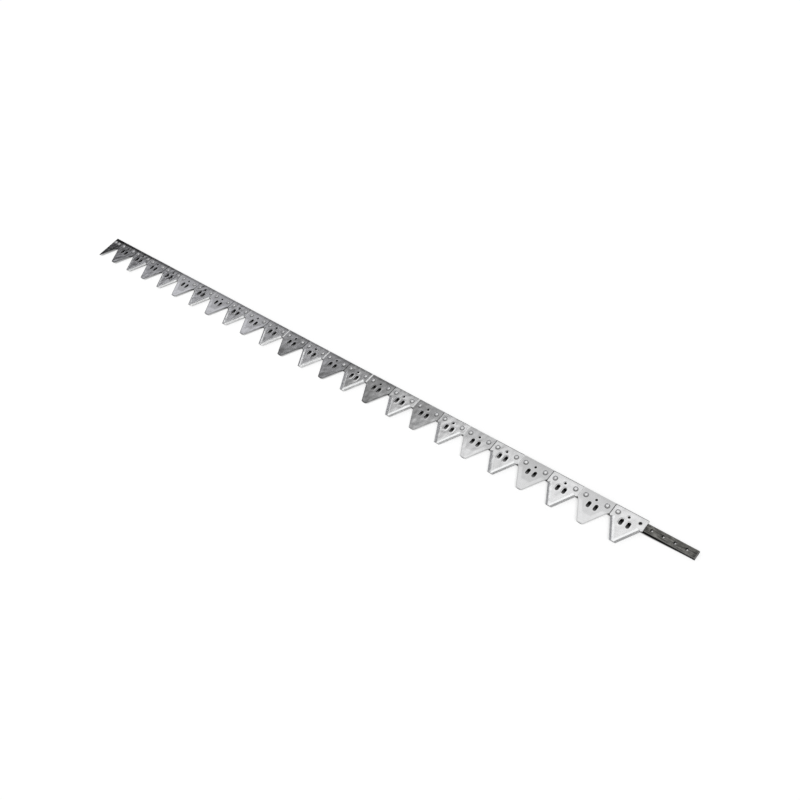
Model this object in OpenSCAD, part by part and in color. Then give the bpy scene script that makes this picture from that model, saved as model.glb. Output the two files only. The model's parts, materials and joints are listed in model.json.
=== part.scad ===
// Mower sickle knife: a flat knife back with a row of riveted blade sections,
// a half section at its outer end and a bare, drilled tail for the drive head.
// X runs along the knife towards the tail, the points face -Y, and Z = 0 is the underside of the knife back.

/* [Knife] */
// Number of full sections
section_count = 24; // [4:1:30]
// Distance from one section to the next along the knife
section_pitch = 76.2; // [70:0.1:90]

/* [Knife back] */
// Width of the flat bar
bar_w = 20; // [18:0.5:26]
// Thickness of the flat bar
bar_t = 6; // [5:0.5:10]
// Rolled corner of the bar, as a chamfer
bar_corner = 0.6; // [0.2:0.1:1.5]
// Number of bare holes in the tail
tail_holes = 4; // [2:1:8]
// Bar left beyond the last hole of the tail
tail_end = 22; // [10:1:60]
// Diameter of the bar's holes and of the sections' rivet holes
hole_d = 6.5; // [4.5:0.1:8]

/* [Section] */
// Thickness of the blade plate
section_t = 3; // [2.5:0.1:4]
// Depth of a section from its back edge to its tip
section_depth = 78.5; // [72:0.5:95]
// Gap between two neighbouring sections
section_gap = 0.5; // [0.2:0.1:1.5]
// Length of the heel's straight side
heel_depth = 27; // [25:0.5:32]
// Chamfer at the front corner of the heel
heel_chamfer = 3.4; // [2:0.1:5]
// Width of the blunt tip
tip_w = 14.6; // [10:0.2:20]
// Distance from the back edge to the row of holes
row_back = 14.6; // [13:0.1:16]
// Diameter of the middle hole
pilot_d = 6; // [3:0.1:6.5]
// Width of the rolled-over rim that the blanking press leaves along the heel
roll_w = 1.2; // [0.6:0.1:2]
// Depth of the rolled-over rim at the plate's side
roll_drop = 0.35; // [0.2:0.05:0.6]

/* [Slots] */
// Width of a clearing slot
slot_w = 8.2; // [5:0.1:10]
// Length of a clearing slot, end to end
slot_l = 16; // [12:0.5:18]
// Distance between the two slots, centre to centre
slot_spacing = 16.4; // [13:0.1:20]
// Distance from the back edge to the middle of the slots
slot_back = 31.6; // [30:0.1:36]

/* [Cutting edge] */
// Width of the ground bevel, square to the edge
bevel_w = 9.5; // [7:0.1:12]
// Depth ground away where the toothed band starts
bevel_drop = 0.75; // [0.5:0.05:1.4]
// Width of the toothed band along the edge
tooth_band = 3.5; // [2.5:0.1:5]
// Thickness left at the very edge
edge_t = 0.4; // [0.3:0.05:0.6]
// Distance from one tooth to the next
tooth_pitch = 2.5; // [1.8:0.1:5]
// Depth of the grooves between the teeth
tooth_depth = 0.6; // [0.5:0.05:0.9]
// Width of the flat land left on each tooth
tooth_land = 0.5; // [0.3:0.05:0.8]
// Smooth length left at both ends of an edge
tooth_margin = 2; // [1:0.5:6]

/* [End section] */
// Width of the end section beyond its centre line, at its back edge
end_side = 2.4; // [1:0.1:6]
// How far the end section's outer side slants inwards on its way to the tip
end_taper = 5; // [1:0.5:8]
// Distance from the end section's outer rivet to its inner one
end_rivet_step = 17; // [15:0.5:19]

/* [Rivets] */
// Diameter of the round rivet head
head_d = 11; // [9.5:0.1:13]
// Height of the round rivet head
head_h = 2.7; // [1.5:0.1:4]
// Diameter of the sunk rivet foot at the underside of the bar
foot_d = 9.5; // [8.5:0.1:12]
// Height of the sunk rivet foot
foot_h = 2; // [1:0.1:3]
// Clearance around shank and foot
rivet_fit = 0.05; // [0.02:0.01:0.2]
// Height of the foot's face above the underside of the bar
foot_recess = 0.2; // [0.1:0.05:0.5]

/* [Hidden] */
$fn = 48;
// Overlap of the cutting shapes with the open air
over = 2;

// Holes of the knife back stand three to a section
hole_pitch = section_pitch / 3;
half_w = (section_pitch - section_gap) / 2;
tail_len = hole_pitch / 2 + (tail_holes - 1) * hole_pitch + tail_end;
bar_len = end_side + section_pitch / 2 + section_count * section_pitch + tail_len;

// The origin lies below the middle of the knife's box
x_left = -bar_len / 2;
x_end = x_left + end_side;
y_back = section_depth / 2;
y_row = y_back - row_back;
z_top = bar_t + section_t;

// Corner points of the right half of a section
heel_corner = [half_w, y_back - heel_depth];
edge_start = [half_w - heel_chamfer, y_back - heel_depth - heel_chamfer];
edge_end = [tip_w / 2, y_back - section_depth];
edge_len = norm(edge_end - edge_start);

// Slopes of the rolled rim, of the ground bevel and of the toothed band
roll_slope = atan(roll_drop / roll_w);
bevel_slope = atan(bevel_drop / (bevel_w - tooth_band));
tooth_slope = atan((section_t - bevel_drop - edge_t) / tooth_band);
tooth_run = tooth_band / cos(tooth_slope) + tooth_depth / tan(tooth_slope - bevel_slope);
tooth_count = floor((edge_len - 2 * tooth_margin) / tooth_pitch);
// Height above the band at which the sides of two neighbouring grooves would meet
groove_rise = tooth_depth * tooth_land / (tooth_pitch - tooth_land);

function section_x(i) = x_end + i * section_pitch;
function section_name(i) = str("section_", i < 10 ? "0" : "", i);
// Every second section is turned over, and the one beside the tail has its bevels on top
function bevels_up(i) = (section_count - i) % 2 == 0;

right_outline = [[half_w, y_back], heel_corner, edge_start, edge_end];
left_outline = [for (i = [len(right_outline) - 1:-1:0]) [-right_outline[i][0], right_outline[i][1]]];
end_outline = concat(right_outline, [[end_taper - end_side, edge_end[1]], [-end_side, y_back]]);

end_rivets = [x_end + hole_pitch, x_end + hole_pitch - end_rivet_step];
section_rivets = [
    for (i = [1:section_count], side = [-1, 1])
        if (i < section_count || side < 0) section_x(i) + side * hole_pitch
];
rivet_places = concat(end_rivets, section_rivets);
open_places = concat(
    [for (i = [1:section_count]) section_x(i)],
    [for (i = [0:tail_holes]) section_x(section_count) + hole_pitch * (i + 1)]
);

// Upright hole through the thickness t, with its axis at x, y
module hole(x, y, d, t) {
    translate([x, y, -over]) cylinder(d = d, h = t + 2 * over);
}

// Slot with round ends, long way along Y
module slot(x) {
    run = slot_l - slot_w;
    y = y_back - slot_back;
    for (end = [-1, 1]) hole(x, y + end * run / 2, slot_w, section_t);
    translate([x - slot_w / 2, y - run / 2, -over]) cube([slot_w, run, section_t + 2 * over]);
}

// Lays its children along the outline from p to q, with X along the edge and the plate on the -Y side
module along(p, q) {
    turn = atan2(q[1] - p[1], q[0] - p[0]);
    translate([p[0], p[1], 0]) rotate([0, 0, turn]) children();
}

// What rolls over at the rim of the heel, from p to q
module roll_cut(p, q) {
    profile = [
        [-roll_w - over, section_t + over * tan(roll_slope)],
        [over, section_t - roll_drop - over * tan(roll_slope)],
        [over, section_t + over],
        [-roll_w - over, section_t + over]
    ];
    along(p, q)
        translate([-over, 0, 0])
            rotate([90, 0, 90]) linear_extrude(norm(q - p) + 2 * over) polygon(profile);
}

// What the wheel grinds off along one edge: a long bevel and a steeper band at the edge
module bevel_cut() {
    profile = [
        [-bevel_w - over, section_t + over * tan(bevel_slope)],
        [-tooth_band, section_t - bevel_drop],
        [over, edge_t - over * tan(tooth_slope)],
        [over, section_t + over],
        [-bevel_w - over, section_t + over]
    ];
    rotate([90, 0, 90]) linear_extrude(edge_len + over) polygon(profile);
}

// Row of V grooves that run up the steep band and fade out in the bevel
module tooth_cut() {
    grooves = [
        for (i = [0:tooth_count - 1])
            each [[i * tooth_pitch, groove_rise], [(i + 0.5) * tooth_pitch, -tooth_depth]]
    ];
    row_len = tooth_count * tooth_pitch;
    comb = concat(grooves, [[row_len, groove_rise], [row_len, over], [0, over]]);
    translate([(edge_len - row_len) / 2, 0, edge_t])
        rotate([-tooth_slope, 0, 0])
            translate([0, over, 0])
                rotate([90, 0, 0]) linear_extrude(tooth_run + 2 * over) polygon(comb);
}

// Rolled rim, bevel and teeth of the right-hand side, in the section's own place
module side_cut() {
    roll_cut([half_w, y_back], heel_corner);
    along(edge_start, edge_end) {
        bevel_cut();
        tooth_cut();
    }
}

// Blade section with its bevels on top, lying on Z = 0
module blade() {
    difference() {
        linear_extrude(section_t) polygon(concat(right_outline, left_outline));
        for (side = [-1, 1]) {
            hole(side * hole_pitch, y_row, hole_d, section_t);
            slot(side * slot_spacing / 2);
        }
        hole(0, y_row, pilot_d, section_t);
        roll_cut([-half_w, y_back], [half_w, y_back]);
        side_cut();
        mirror([1, 0, 0]) side_cut();
    }
}

// One full section, turned over where its bevels face down
module section(i) {
    color([0.82, 0.83, 0.84])
        translate([section_x(i), 0, bar_t])
            if (bevels_up(i)) blade();
            else translate([0, 0, section_t]) rotate([0, 180, 0]) blade();
}

// Half section with one cutting edge and a slanted outer side, with its bevel on top, lying on Z = 0
module half_blade() {
    difference() {
        linear_extrude(section_t) polygon(end_outline);
        for (x = end_rivets) hole(x - x_end, y_row, hole_d, section_t);
        roll_cut([-end_side, y_back], [half_w, y_back]);
        side_cut();
    }
}

// The half section at the outer end, with its bevel facing down
module end_section() {
    color([0.62, 0.63, 0.64])
        translate([x_end, 0, z_top]) mirror([0, 0, 1]) half_blade();
}

// Flat bar with rolled corners, drilled all along, sunk below for the rivet feet
module knife_back() {
    corner = bar_corner;
    side = bar_w / 2;
    profile = [
        [-side + corner, 0], [side - corner, 0], [side, corner], [side, bar_t - corner],
        [side - corner, bar_t], [-side + corner, bar_t], [-side, bar_t - corner], [-side, corner]
    ];
    color([0.3, 0.3, 0.28])
        difference() {
            translate([x_left, y_row, 0]) rotate([90, 0, 90]) linear_extrude(bar_len) polygon(profile);
            for (x = concat(rivet_places, open_places)) hole(x, y_row, hole_d, bar_t);
            for (x = rivet_places) translate([x, y_row, 0]) cylinder(d1 = foot_d, d2 = hole_d, h = foot_h);
        }
}

// Rivet with a round head on the section and a sunk foot in the bar
module rivet() {
    cap_r = (head_d * head_d / 4 + head_h * head_h) / (2 * head_h);
    shank_d = hole_d - 2 * rivet_fit;
    foot_bottom = foot_d - 2 * rivet_fit - (foot_d - hole_d) * foot_recess / foot_h;
    translate([0, 0, z_top]) intersection() {
        translate([0, 0, head_h - cap_r]) sphere(r = cap_r);
        cylinder(d = head_d, h = head_h);
    }
    translate([0, 0, foot_recess]) cylinder(d = shank_d, h = z_top - foot_recess);
    translate([0, 0, foot_recess]) cylinder(d1 = foot_bottom, d2 = shank_d, h = foot_h - foot_recess);
}

// All rivets of the knife
module rivets() {
    color([0.74, 0.75, 0.76])
        for (x = rivet_places) translate([x, y_row, 0]) rivet();
}

knife_back();
end_section();
for (i = [1:section_count]) section(i);
rivets();
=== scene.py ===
"""Finish of a mower sickle knife: steel for its plates and bar, set rivets, and a pale studio round it.

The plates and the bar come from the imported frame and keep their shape. All lengths are in metres.
"""
import json
import math
from functools import reduce
from types import SimpleNamespace

import bpy
import numpy as np
from bpy.props import FloatProperty, FloatVectorProperty, IntProperty, PointerProperty
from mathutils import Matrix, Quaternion, Vector


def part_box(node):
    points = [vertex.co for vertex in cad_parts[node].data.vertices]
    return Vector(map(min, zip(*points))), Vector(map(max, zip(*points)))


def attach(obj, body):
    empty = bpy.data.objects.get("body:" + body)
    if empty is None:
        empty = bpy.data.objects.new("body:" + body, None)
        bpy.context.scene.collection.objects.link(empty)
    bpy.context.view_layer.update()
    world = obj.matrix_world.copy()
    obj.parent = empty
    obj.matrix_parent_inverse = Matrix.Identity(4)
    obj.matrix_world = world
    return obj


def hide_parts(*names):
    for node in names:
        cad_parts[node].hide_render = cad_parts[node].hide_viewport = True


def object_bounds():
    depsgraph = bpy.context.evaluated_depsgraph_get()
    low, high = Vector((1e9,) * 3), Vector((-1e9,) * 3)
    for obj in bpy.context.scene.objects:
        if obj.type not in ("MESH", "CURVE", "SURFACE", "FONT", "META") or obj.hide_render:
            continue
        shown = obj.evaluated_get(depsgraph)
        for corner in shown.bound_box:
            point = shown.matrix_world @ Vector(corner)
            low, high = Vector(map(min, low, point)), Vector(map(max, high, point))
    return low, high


bl_info = {
    "name": "Mower sickle knife",
    "version": (1, 0, 0),
    "blender": (4, 5, 0),
    "location": "View3D > Sidebar > Sickle",
    "description": "Steel finishes, rivets and studio of a mower sickle knife",
    "category": "Object",
}

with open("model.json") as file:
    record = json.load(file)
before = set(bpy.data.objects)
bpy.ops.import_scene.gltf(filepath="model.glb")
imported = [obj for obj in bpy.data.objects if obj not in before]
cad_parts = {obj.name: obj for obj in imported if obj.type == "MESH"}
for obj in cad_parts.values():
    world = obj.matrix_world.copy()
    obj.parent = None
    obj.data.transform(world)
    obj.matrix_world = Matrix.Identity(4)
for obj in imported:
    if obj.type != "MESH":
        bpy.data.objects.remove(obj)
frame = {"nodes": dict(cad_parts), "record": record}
CAD_LOW, CAD_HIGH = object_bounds()

# Places that the frame gives
SECTIONS = sorted(name for name in frame["nodes"] if name.startswith("section_"))
FIRST_LOW, FIRST_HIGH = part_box(SECTIONS[0])
SECOND_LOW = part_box(SECTIONS[1])[0]
LAST_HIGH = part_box(SECTIONS[-1])[1]
BAR_LOW, BAR_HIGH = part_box("knife_back")
RIVET_LOW, RIVET_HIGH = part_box("rivets")
TAIL_BOLTS = next(m for m in frame["record"]["mounts"] if m["name"] == "tail_bolts_inner")

PITCH = SECOND_LOW.x - FIRST_LOW.x
HOLE_PITCH = PITCH / 3
HOLE_RADIUS = TAIL_BOLTS["dims"]["hole_r_mm"] / 1000
HALF_WIDTH = (FIRST_HIGH.x - FIRST_LOW.x) / 2
END_CENTRE = (FIRST_LOW.x + FIRST_HIGH.x) / 2 - PITCH
BACK_Y = FIRST_HIGH.y
ROW_Y = TAIL_BOLTS["pos_m"][1]
ROW_DEPTH = BACK_Y - ROW_Y
SECTION_DEPTH = FIRST_HIGH.y - FIRST_LOW.y
PLATE_TOP = FIRST_HIGH.z
BAR_HALF_WIDTH = (BAR_HIGH.y - BAR_LOW.y) / 2


def a_length(name, description, default):
    """Property for a length."""
    return FloatProperty(name=name, description=description, default=default, min=0, unit="LENGTH")


def an_angle(name, description, degrees, least=0.0):
    """Property for an angle, whose default is given in degrees."""
    return FloatProperty(
        name=name, description=description, default=math.radians(degrees), min=least, unit="ROTATION")


def a_share(name, description, default):
    """Property for a share from 0 to 1."""
    return FloatProperty(name=name, description=description, default=default, min=0, max=1, subtype="FACTOR")


def a_colour(name, description, default):
    """Property for a colour."""
    return FloatVectorProperty(
        name=name, description=description, default=default, min=0, max=1, subtype="COLOR", size=3)


class SectionFinish(bpy.types.PropertyGroup):
    """Steel of the blade sections"""

    steel: a_colour("Steel", "Colour of the bare plate", (0.805, 0.806, 0.811))
    ground: a_colour("Ground steel", "Colour of the ground bevels", (0.93, 0.935, 0.94))
    roughness: a_share("Roughness", "Roughness of the plate's flat side", 0.115)
    bevel_side_roughness: a_share("Bevel side roughness", "Roughness of the side with the bevels", 0.18)
    seed: IntProperty(name="Seed", description="Seed of the plates' tones and leans", default=11160, min=0)
    tone_spread: a_share("Tone spread", "How much darker the darkest plate is than the lightest", 0.2)
    tilt_spread: an_angle("Tilt spread", "How far a plate leans out of the row's plane", 0.8)
    heel_depth: a_length("Heel depth", "Depth at which the cutting edges start", 0.0304)
    heel_half: a_length("Half width at heel", "Half the width where the cutting edges start", 0.03445)
    tip_half: a_length("Half width at tip", "Half the width of the blunt tip", 0.0073)
    band: a_length("Hardened band", "Width of the hardened band along the cutting edges", 0.0095)
    slot_offset: a_length("Slot offset", "Distance of a slot from the plate's middle line", 0.0082)
    slot_depth: a_length("Slot depth", "Distance of the slots' middle from the back edge", 0.0316)
    slot_radius: a_length("Slot radius", "Half the width of a slot", 0.0041)
    slot_straight: a_length("Slot straight", "Half the length of a slot's straight sides", 0.0039)
    pilot_radius: a_length("Middle hole", "Radius of the middle hole", 0.003)
    end_rivet: a_length("End rivet", "Distance of the end section's outer rivet from its middle line", 0.0084)
    bevel_slope: an_angle("Bevel slope", "Slope that a bevel grows to, from its inner side to the teeth", 6.1)
    tooth_slope: an_angle("Tooth slope", "Slope of the toothed band", 27.9)
    smoothing: a_share("Smoothing", "How much the grinding blurs the teeth", 0.75)
    burr_way: FloatVectorProperty(
        name="Burr lean", description="Lean of the burr along the left bevel's inner side", subtype="XYZ", size=3,
        default=(0.064, -0.048, 0.0))
    corner_way: FloatVectorProperty(
        name="Corner facing", description="Way that the heel's lit corner faces", subtype="XYZ", size=3,
        default=(0.2, -0.1, 0.97))
    tooth_band: a_length("Toothed band", "Width of the toothed band along the cutting edges", 0.0046)
    waves: a_length("Waves", "Height of the plate's long waves", 0.0004)
    ripples: a_length("Ripples", "Height of the plate's short waves", 0.00006)

    def edge_fall(self):
        """Angle between the cutting edges and the plate's middle line."""
        return math.atan2(self.heel_half - self.tip_half, SECTION_DEPTH - self.heel_depth)


class BarFinish(bpy.types.PropertyGroup):
    """Steel of the knife back"""

    scale: a_colour("Mill scale", "Colour of the rolled skin", (0.17, 0.168, 0.157))
    # Also the colour of the painted highlight along the bar's edges
    worn: a_colour("Worn steel", "Colour where the skin is rubbed off", (0.36, 0.355, 0.34))
    roughness: a_share("Roughness", "Roughness of the rolled skin", 0.42)
    worn_width: a_length("Worn width", "Width of the rubbed strip along the bar's corners", 0.0016)


class RivetFinish(bpy.types.PropertyGroup):
    """Form and steel of the rivets"""

    steel: a_colour("Steel", "Colour of the rivets", (0.79, 0.793, 0.797))
    roughness: a_share("Roughness", "Roughness of the rivets", 0.26)
    shoulder: FloatProperty(
        name="Shoulder", description="Power of the head's superellipse: 2 is a half ellipse",
        default=2.6, min=2, max=5)
    seed: IntProperty(name="Seed", description="Seed of the blows on the heads", default=7)


class StageFinish(bpy.types.PropertyGroup):
    """Camera and light"""

    camera_place: FloatVectorProperty(
        name="Camera", description="Place of the camera", subtype="TRANSLATION", size=3,
        default=(1.35427, -0.77598, 1.58927))
    camera_target: FloatVectorProperty(
        name="Target", description="Point that the camera looks at", subtype="TRANSLATION", size=3,
        default=(0.22908, 0.0120, 0.009))
    camera_roll: an_angle("Roll", "Turn of the camera about its own axis", -18.745, least=-math.pi)
    camera_lens: FloatProperty(
        name="Lens", description="Focal length on a 36 mm sensor", default=39.504, min=1, unit="CAMERA")
    floor_colour: a_colour("Floor", "Colour of the floor", (0.62, 0.62, 0.62))
    floor_glow: a_share("Floor glow", "Light that the floor adds in the camera's eye", 0.53)
    sky_level: FloatProperty(
        name="Sky level", description="Strength of the even light from all round", default=0.5, min=0, max=2)
    lamp_level: FloatProperty(
        name="Lamp", description="Strength of the soft lamp over the camera", default=1.3, min=0)
    lamp_width: an_angle("Lamp width", "Angle over which the lamp spreads", 25)
    box_radius: an_angle("Soft box radius", "Angle from the soft box's axis to its edge", 26.6)
    window_radius: an_angle("Window radius", "Angle from the axis of the low window behind the knife to its edge", 17)
    box_fade: an_angle("Soft box fade", "Angle over which the soft box's edge fades", 8.5)


class Nodes:
    """Short way to fill a node tree: each call adds a node, sets it, feeds its inputs and gives back an output."""

    def __init__(self, tree):
        self.tree = tree

    def feed(self, node, values):
        """Fills a node's inputs, by name or number: outputs are linked, and plain values are set."""
        for key, value in values.items():
            if isinstance(value, bpy.types.NodeSocket):
                self.tree.links.new(value, node.inputs[key])
            else:
                node.inputs[key].default_value = value

    def add(self, kind, out=0, feed=None, **settings):
        """Adds a node with its settings and feeds its inputs."""
        node = self.tree.nodes.new(kind)
        for key, value in settings.items():
            setattr(node, key, value)
        self.feed(node, feed or {})
        return node.outputs[out]

    def math(self, operation, *values):
        """A Math node on up to three values."""
        return self.add("ShaderNodeMath", operation=operation, feed=dict(enumerate(values)))

    def times(self, *values):
        """Product of the values."""
        return reduce(lambda so_far, value: self.math("MULTIPLY", so_far, value), values)

    def most(self, *values):
        """Largest of the values."""
        return reduce(lambda so_far, value: self.math("MAXIMUM", so_far, value), values)

    def least(self, *values):
        """Smallest of the values."""
        return reduce(lambda so_far, value: self.math("MINIMUM", so_far, value), values)

    def less(self, value, taken):
        """A value less another one."""
        return self.math("SUBTRACT", value, taken)

    def line(self, value, slope, start):
        """Slope times the value, plus start."""
        return self.math("MULTIPLY_ADD", value, slope, start)

    def rest(self, mask, share=1.0):
        """What a share of the mask leaves of 1."""
        return self.less(1.0, mask if share == 1.0 else self.times(mask, share))

    def off(self, value, centre):
        """Distance of a value from a centre."""
        return self.math("ABSOLUTE", self.less(value, centre))

    def above(self, value, limit):
        """1 where the value is above the limit, else 0."""
        return self.math("GREATER_THAN", value, limit)

    def below(self, value, limit):
        """1 where the value is below the limit, else 0."""
        return self.math("LESS_THAN", value, limit)

    def ease(self, value, low, high, start=0.0, end=1.0):
        """Smooth step of a value from low to high, mapped to start and end."""
        feed = dict(enumerate((value, low, high, start, end)))
        return self.add("ShaderNodeMapRange", interpolation_type="SMOOTHSTEP", feed=feed)

    def part(self, vector, axis):
        """One coordinate of a vector."""
        return self.add("ShaderNodeSeparateXYZ", out=axis, feed={0: vector})

    def blend(self, factor, first, second):
        """Colour mix of two colours."""
        return self.add("ShaderNodeMix", out=2, data_type="RGBA", feed={0: factor, 6: first, 7: second})

    def vector(self, operation, *vectors, out=0):
        """A Vector Math node on up to three vectors."""
        return self.add("ShaderNodeVectorMath", out=out, operation=operation, feed=dict(enumerate(vectors)))

    def shade(self, colour, value):
        """Colour or vector times a value."""
        return self.add("ShaderNodeVectorMath", operation="SCALE", feed={0: colour, "Scale": value})

    def noise(self, vector, scale, detail=3.0, roughness=0.55):
        """Noise value from 0 to 1."""
        feed = {"Vector": vector, "Scale": scale, "Detail": detail, "Roughness": roughness}
        return self.add("ShaderNodeTexNoise", feed=feed)

    def bump(self, **feed):
        """Normal of a surface with a relief."""
        return self.add("ShaderNodeBump", feed=feed)

    def draw(self, seed):
        """A random colour for each value of seed."""
        return self.add("ShaderNodeTexWhiteNoise", out="Color", noise_dimensions="1D", feed={"W": seed})


def rgba(colour):
    """Colour with full cover."""
    return (*colour, 1.0)


SOCKET_KINDS = {"Place": "NodeSocketVector", "Streak": "NodeSocketVector", "Draw": "NodeSocketColor"}


def new_group(name, inputs, outputs):
    """Shader node group with named sockets: returns its filler, its input outputs and its output node."""
    tree = bpy.data.node_groups.new(name, "ShaderNodeTree")
    for way, sockets in (("INPUT", inputs), ("OUTPUT", outputs)):
        for socket in sockets.split():
            kind = SOCKET_KINDS.get(socket, "NodeSocketFloat")
            tree.interface.new_socket(name=socket, in_out=way, socket_type=kind)
    entry = tree.nodes.new("NodeGroupInput")
    leave = tree.nodes.new("NodeGroupOutput")
    return Nodes(tree), entry.outputs, leave


def close_group(nodes, leave, **outputs):
    """Links the group's results to its output sockets."""
    nodes.feed(leave, outputs)
    return nodes.tree


def use_group(nodes, group, **feed):
    """Places a group in a tree and returns its outputs by name."""
    return nodes.add("ShaderNodeGroup", node_tree=group, feed=feed).node.outputs


CLOUD_SCALE = 70.0
GRAIN_SCALE = 1400.0
PAST_END = 0.5  # Between the end section's index, 0, and the next one's


def rolled_grain_group():
    """Rolled steel: soft clouds, streaks along the rolling direction and fine grain, each from 0 to 1."""
    nodes, given, leave = new_group("Rolled grain", "Place Streak", "Clouds Streaks Grain")
    place = given["Place"]
    streaked = nodes.vector("MULTIPLY", place, given["Streak"])
    return close_group(
        nodes, leave,
        Clouds=nodes.noise(place, CLOUD_SCALE, detail=4.0),
        Streaks=nodes.noise(streaked, 1.0, detail=4.0, roughness=0.6),
        Grain=nodes.noise(place, GRAIN_SCALE, detail=2.0))


def hole_rim_group():
    """Rim of a round or long hole: distance from its wall, and a mask that fades out over the rim's width.

    Across and Along are measured from the hole's middle. The long hole is the set of points within Radius
    of a straight stretch of half length Straight.
    """
    nodes, given, leave = new_group("Hole rim", "Across Along Radius Straight Width", "Distance Rim")
    past = nodes.most(nodes.less(nodes.math("ABSOLUTE", given["Along"]), given["Straight"]), 0.0)
    square = nodes.math("ADD", nodes.math("POWER", given["Across"], 2.0), nodes.math("POWER", past, 2.0))
    distance = nodes.less(nodes.math("SQRT", square), given["Radius"])
    rim = nodes.ease(distance, given["Width"], 0.0)
    return close_group(nodes, leave, Distance=distance, Rim=rim)


def section_place_group(finish):
    """Where a point lies on its own section.

    Index counts the sections from the end section, Across runs from the middle line, Depth from the back edge.
    Edge is the distance inwards from the cutting edge and Run the distance along it. Turned is 1 on the plates
    that lie with their bevels down, and Draw is a random colour for each plate.
    """
    nodes, given, leave = new_group("Section place", "Place", "Index Across Depth Edge Run Turned Draw")
    count = nodes.math("DIVIDE", nodes.less(nodes.part(given["Place"], "X"), END_CENTRE), PITCH)
    index = nodes.math("ROUND", count)
    across = nodes.times(nodes.less(count, index), PITCH)
    depth = nodes.less(BACK_Y, nodes.part(given["Place"], "Y"))
    fall = finish.edge_fall()
    beyond = nodes.less(depth, finish.heel_depth)
    inside = nodes.less(finish.heel_half, nodes.math("ABSOLUTE", across))
    edge = nodes.less(nodes.times(inside, math.cos(fall)), nodes.times(beyond, math.sin(fall)))
    run = nodes.math("ADD", nodes.times(inside, math.sin(fall)), nodes.times(beyond, math.cos(fall)))
    return close_group(
        nodes, leave, Index=index, Across=across, Depth=depth, Edge=edge, Run=run,
        Turned=nodes.most(nodes.math("MODULO", index, 2.0), nodes.below(index, PAST_END)),
        Draw=nodes.draw(nodes.math("ADD", index, finish.seed)))


def new_material(name):
    """Empty node material: returns it, its filler, its Principled node and its Object coordinates."""
    material = bpy.data.materials.new(name)
    material.use_nodes = True
    tree = material.node_tree
    shader = tree.nodes["Principled BSDF"]
    nodes = Nodes(tree)
    place = nodes.add("ShaderNodeTexCoord", out="Object")
    return material, nodes, shader, place


SECTION_STREAK = (35.0, 1600.0, 1600.0)

# A section's soft borders: where a mask starts, and where it is full
# By the upright part of the face's normal
SLOPED_LEVELS = (0.998, 0.994)
STANDING_LEVELS = (0.5, 0.7)
WALL_LEVELS = (0.5, 0.3)
RAMP_LEVELS = (0.99, 0.97)
UP_LEVELS = (0.3, 0.6)
# By the distance along the cutting edge
BEVEL_START = (-0.0006, 0.0)
RAMP_END = (0.008, 0.006)
# By the distance inwards from the cutting edge, or from a line beside it
RAMP_OUTER = (0.0006, 0.0014)
RAMP_INNER = (0.0106, 0.0102)
LIP_WIDTH = (0.0013, 0.0003)
LEFT_LINE_EDGE = 0.0065
LEFT_LINE_WIDTH = (0.0019, 0.0009)
LEFT_DARK_EDGE = (0.0042, 0.003)
CUT_EDGE = (0.0028, 0.0008)
BAND_SHARES = (1.15, 0.85)
TOOTH_STEPS = (0.0004, -0.0004)
# By the depth from the back edge
BACK_STRIP = (0.008, 0.0035)
BACK_EDGE = (0.0095, 0.0065)
HEEL_SHADE = (0.045, 0.0)
DARK_TIP = (0.03, 0.07)
# By the depth from the heel's front, from the tip, and by the distance from the heel's end
HEEL_START = (-0.001, 0.003)
HEEL_BAND = (-0.004, 0.004)
TIP_BAND = (-0.028, -0.022)
TIP_CUT = (-0.0032, -0.001)
LIT_END = (-0.002, -0.001)
# By the section's index, which is 0 at the far end
NEAR_PLATES = (15.0, 17.0)
PAST_FAR_PLATES = (5.0, 9.0)
FAR_PLATES = (6.0, 1.0)
LEFT_LINE_PLATES = (15.0, 12.0)
DARK_TIP_PLATES = (9.5, 11.0)
LIT_PLATES = (8.5, 11.0)
LEAN_PLATES = ((13.0, 14.0), (17.5, 16.5))

# Shares that follow another mask: slope and start
BACK_STRIP_BY_NEAR = (-0.3, 0.35)
HEEL_SHADE_BY_TURNED = (0.04, 0.06)
LIT_BY_NEAR = (-0.3, 0.65)
TEETH_BY_NEAR = (0.8, 0.2)
PATCHY_BY_BEVELS = (-0.09, 0.93)
WAVES_BY_BEVELS = (0.5, 0.5)
PUNCHED_BY_BEVELS = (0.00018, 0.00004)
WALL_BY_LIT = (0.45, 0.25)

# Noise or index from one value to another, and the tone or share at each
CLOUD_RANGE = (0.25, 0.75)
CLOUD_LIGHT = 1.04
CLOUD_ROUGHNESS = (*CLOUD_RANGE, -0.02, 0.03)
STREAK_TONES = (0.3, 0.7, 0.965, 1.025)
GRINDING_TONES = (0.25, 0.75, 0.9, 1.04)
# Painted shade: the ground bevels of the far plates are darker
FAR_GROUND = (0.0, 5.0, 0.75, 1.0)
BROKEN_SHINE = (0.3, 0.6, 0.3, 0.9)
BROKEN_BURR = (0.35, 0.65, 0.25, 1.0)
GRINDING_STRETCH = (2600.0, 60.0, 1.0)
BROKEN_STRETCH = (160.0, 3.7, 0.0)
WAVE_SCALE = 80.0
RIPPLE_SCALE = 260.0

# How much a mask darkens the plate: below 0 it lightens it. Apart from the duller plate inside the hardened band and
# the darker end section, these masks are painted shade and painted light: shade at the back, heel and tip, along the
# edges, beside the rivets, round the open hole and on the unlit rolled corners, and light on the near plates and as a
# highlight on the punched rims
TONE_SHARES = {
    "dull": 0.14, "back_strip": 1.0, "back_edge": 0.65, "heel_shade": 1.0, "dirt": 0.6, "corner": 0.7,
    "cut_line": 1.0, "dark_tip": 0.22, "near_light": -0.11, "open_rim": 0.85, "punched": -0.1, "end_plate": 0.25}
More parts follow.
